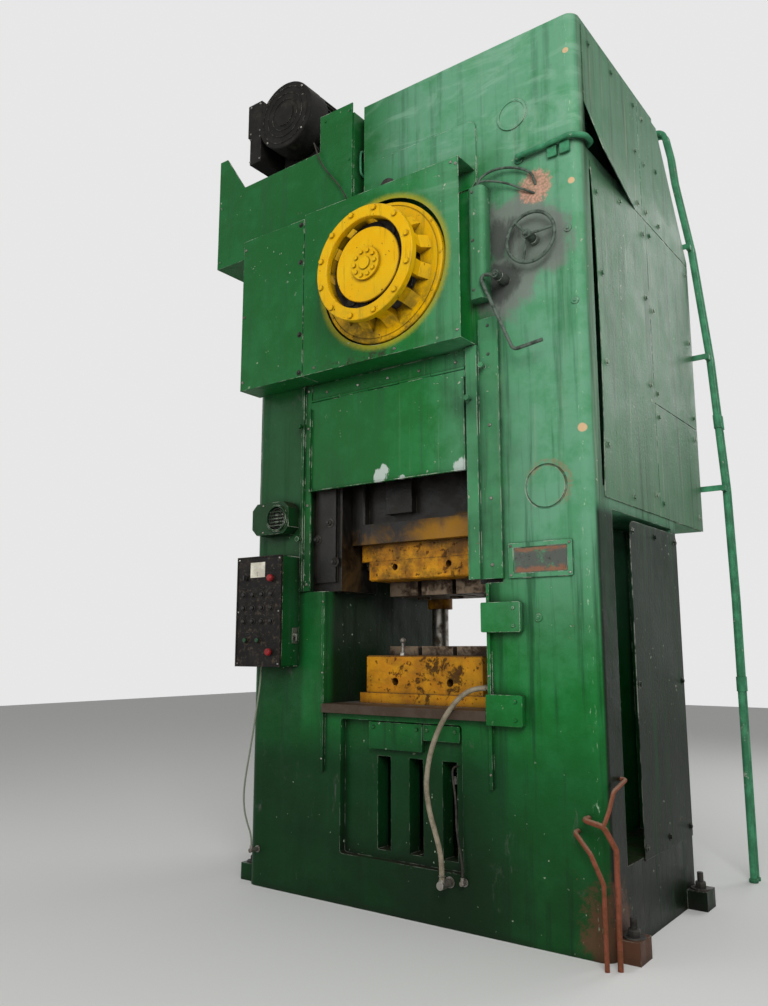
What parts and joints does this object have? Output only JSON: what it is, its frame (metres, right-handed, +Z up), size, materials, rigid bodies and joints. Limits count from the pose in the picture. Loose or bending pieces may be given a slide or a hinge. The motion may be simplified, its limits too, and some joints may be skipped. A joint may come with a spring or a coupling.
{
  "type": "hot forging press",
  "caption": "Closed-frame mechanical hot forging press with eccentric drive, front disc brake, guided ram, die set, gear train, belt drive and top motor.",
  "frame": {"origin": "on the floor, under the centre of the ram, midway between the frame's front and rear faces", "axes": "+Z up; -Y is the front, where the operator stands; +X is to the operator's right"},
  "size_m": [3.25, 2.5689, 5.835],
  "materials": {
    "press_green": "semi-gloss, worn and oily",
    "sheet_green": "satin, dusty and streaked",
    "brake_yellow": "satin, oily and grimy",
    "die_orange": "satin, scaled and rusty",
    "die_steel": "scaled, worn bright at the edges",
    "ram_black": "greased, yellow paint low down",
    "machined_steel": "machined and oiled",
    "bronze": "turned bronze",
    "dark_iron": "as cast, oily",
    "belt_black": "matt",
    "motor_grey": "matt, dusty",
    "panel_black": "satin, scuffed",
    "button_red": "semi-gloss",
    "button_green": "semi-gloss",
    "switch_black": "semi-gloss",
    "pipe_grey": "satin, chipped",
    "pipe_rust": "rusty steel pipe",
    "hose_grey": "matt, dirty",
    "cable_black": "satin"
  },
  "bodies": {
    "frame_body": {"frame": "press_green", "apron_plates": "press_green", "bolster_plate": "machined_steel", "lower_die_holder": "die_orange", "lower_die_inserts": "die_steel", "guide_pillars": "machined_steel", "ram_gibs": "ram_black", "shaft_bushes": "bronze", "brake_housing": "brake_yellow", "brake_front_ring": "brake_yellow", "drive_belts": "belt_black", "motor_body": "motor_grey", "motor_fan_cover": "motor_grey", "motor_console": "sheet_green", "guard_panel_left": "sheet_green", "guard_panel_right": "sheet_green", "guard_strips": "sheet_green", "flap_hinge": "sheet_green", "drive_housing": "sheet_green", "belt_guard": "sheet_green", "right_covers_upper": "sheet_green", "right_covers_lower": "sheet_green", "left_covers": "sheet_green", "hinge_blocks": "press_green", "control_box": "sheet_green", "control_panel": "panel_black", "signal_box": "sheet_green", "header_pipe": "pipe_grey", "rear_pipes": "pipe_grey", "base_pipes": "pipe_rust", "hose_unions": "machined_steel", "work_hose": "hose_grey", "lamp_cable": "cable_black", "control_cable": "cable_black", "motor_wire": "cable_black"},
    "ram_body": {"ram": "ram_black", "die_backing_plate": "die_orange", "upper_die_holder": "die_orange", "upper_die_inserts": "die_steel"},
    "upper_ejector_body": {"upper_ejector": "machined_steel"},
    "lower_ejector_body": {"lower_ejector": "machined_steel"},
    "shaft_body": {"eccentric_shaft": "machined_steel", "brake_disc": "dark_iron", "brake_cover_disc": "brake_yellow"},
    "conrod_body": {"conrod": "dark_iron", "conrod_bush": "bronze", "wrist_pin": "machined_steel"},
    "gear_body": {"main_gear": "dark_iron"},
    "countershaft_body": {"countershaft": "machined_steel", "flywheel": "dark_iron"},
    "motor_shaft_body": {"motor_rotor": "machined_steel", "motor_pulley": "dark_iron"},
    "flap_body": {"flap": "sheet_green"},
    "handwheel_body": {"handwheel": "machined_steel"},
    "lever_body": {"valve_lever": "machined_steel"},
    "stop_upper_body": {"stop_button_upper": "button_red"},
    "stop_lower_body": {"stop_button_lower": "button_red"},
    "start_left_body": {"start_button_left": "button_green"},
    "start_right_body": {"start_button_right": "button_green"},
    "mode_switch_body": {"mode_switch": "switch_black"}
  },
  "joints": [
    {"name": "ram_slide", "type": "slide", "parent": "frame_body", "child": "ram_body", "axis": [0, 0, 1], "range_m": [-0.31, 0]},
    {"name": "eccentric_turn", "type": "hinge", "parent": "frame_body", "child": "shaft_body", "pos_m": [0, 0, 3.93], "axis": [0, 1, 0], "range_deg": [0, 180]},
    {"name": "conrod_turn", "type": "hinge", "parent": "shaft_body", "child": "conrod_body", "pos_m": [0, 0, 4.085], "axis": [0, 1, 0], "range_deg": [-180, 0]},
    {"name": "upper_ejector_slide", "type": "slide", "parent": "ram_body", "child": "upper_ejector_body", "axis": [0, 0, 1], "range_m": [-0.03, 0]},
    {"name": "lower_ejector_slide", "type": "slide", "parent": "frame_body", "child": "lower_ejector_body", "axis": [0, 0, 1], "range_m": [0, 0.05]},
    {"name": "countershaft_turn", "type": "hinge", "parent": "frame_body", "child": "countershaft_body", "pos_m": [-0.44, 0, 4.6921], "axis": [0, 1, 0], "continuous": true},
    {"name": "main_gear_turn", "type": "hinge", "parent": "frame_body", "child": "gear_body", "pos_m": [0, 0, 3.93], "axis": [0, 1, 0], "continuous": true},
    {"name": "motor_turn", "type": "hinge", "parent": "frame_body", "child": "motor_shaft_body", "pos_m": [-1.06, 0, 5.57], "axis": [0, 1, 0], "continuous": true},
    {"name": "flap_hinge_turn", "type": "hinge", "parent": "frame_body", "child": "flap_body", "pos_m": [0, -0.717, 3.25], "axis": [-1, 0, 0], "range_deg": [0, 95]},
    {"name": "handwheel_turn", "type": "hinge", "parent": "frame_body", "child": "handwheel_body", "pos_m": [0.978, -0.85, 3.945], "axis": [0, -1, 0], "continuous": true},
    {"name": "valve_lever_turn", "type": "hinge", "parent": "frame_body", "child": "lever_body", "pos_m": [0.775, -0.808, 3.745], "axis": [0, -1, 0], "range_deg": [-30, 45]},
    {"name": "mode_switch_turn", "type": "hinge", "parent": "frame_body", "child": "mode_switch_body", "pos_m": [-1.175, -0.888, 2.03], "axis": [0, -1, 0], "range_deg": [-45, 45]},
    {"name": "stop_upper_press", "type": "slide", "parent": "frame_body", "child": "stop_upper_body", "axis": [0, 1, 0], "range_m": [0, 0.006], "stiffness_N_per_m": 600},
    {"name": "stop_lower_press", "type": "slide", "parent": "frame_body", "child": "stop_lower_body", "axis": [0, 1, 0], "range_m": [0, 0.006], "stiffness_N_per_m": 600},
    {"name": "start_left_press", "type": "slide", "parent": "frame_body", "child": "start_left_body", "axis": [0, 1, 0], "range_m": [0, 0.006], "stiffness_N_per_m": 600},
    {"name": "start_right_press", "type": "slide", "parent": "frame_body", "child": "start_right_body", "axis": [0, 1, 0], "range_m": [0, 0.006], "stiffness_N_per_m": 600}
  ],
  "couplings": [
    {"joint": "eccentric_turn", "follows": "ram_slide", "rad_per_m": -10.134},
    {"joint": "conrod_turn", "follows": "ram_slide", "rad_per_m": 10.134},
    {"joint": "main_gear_turn", "follows": "countershaft_turn", "ratio": -0.22222},
    {"joint": "motor_turn", "follows": "countershaft_turn", "ratio": 4.0218}
  ]
}
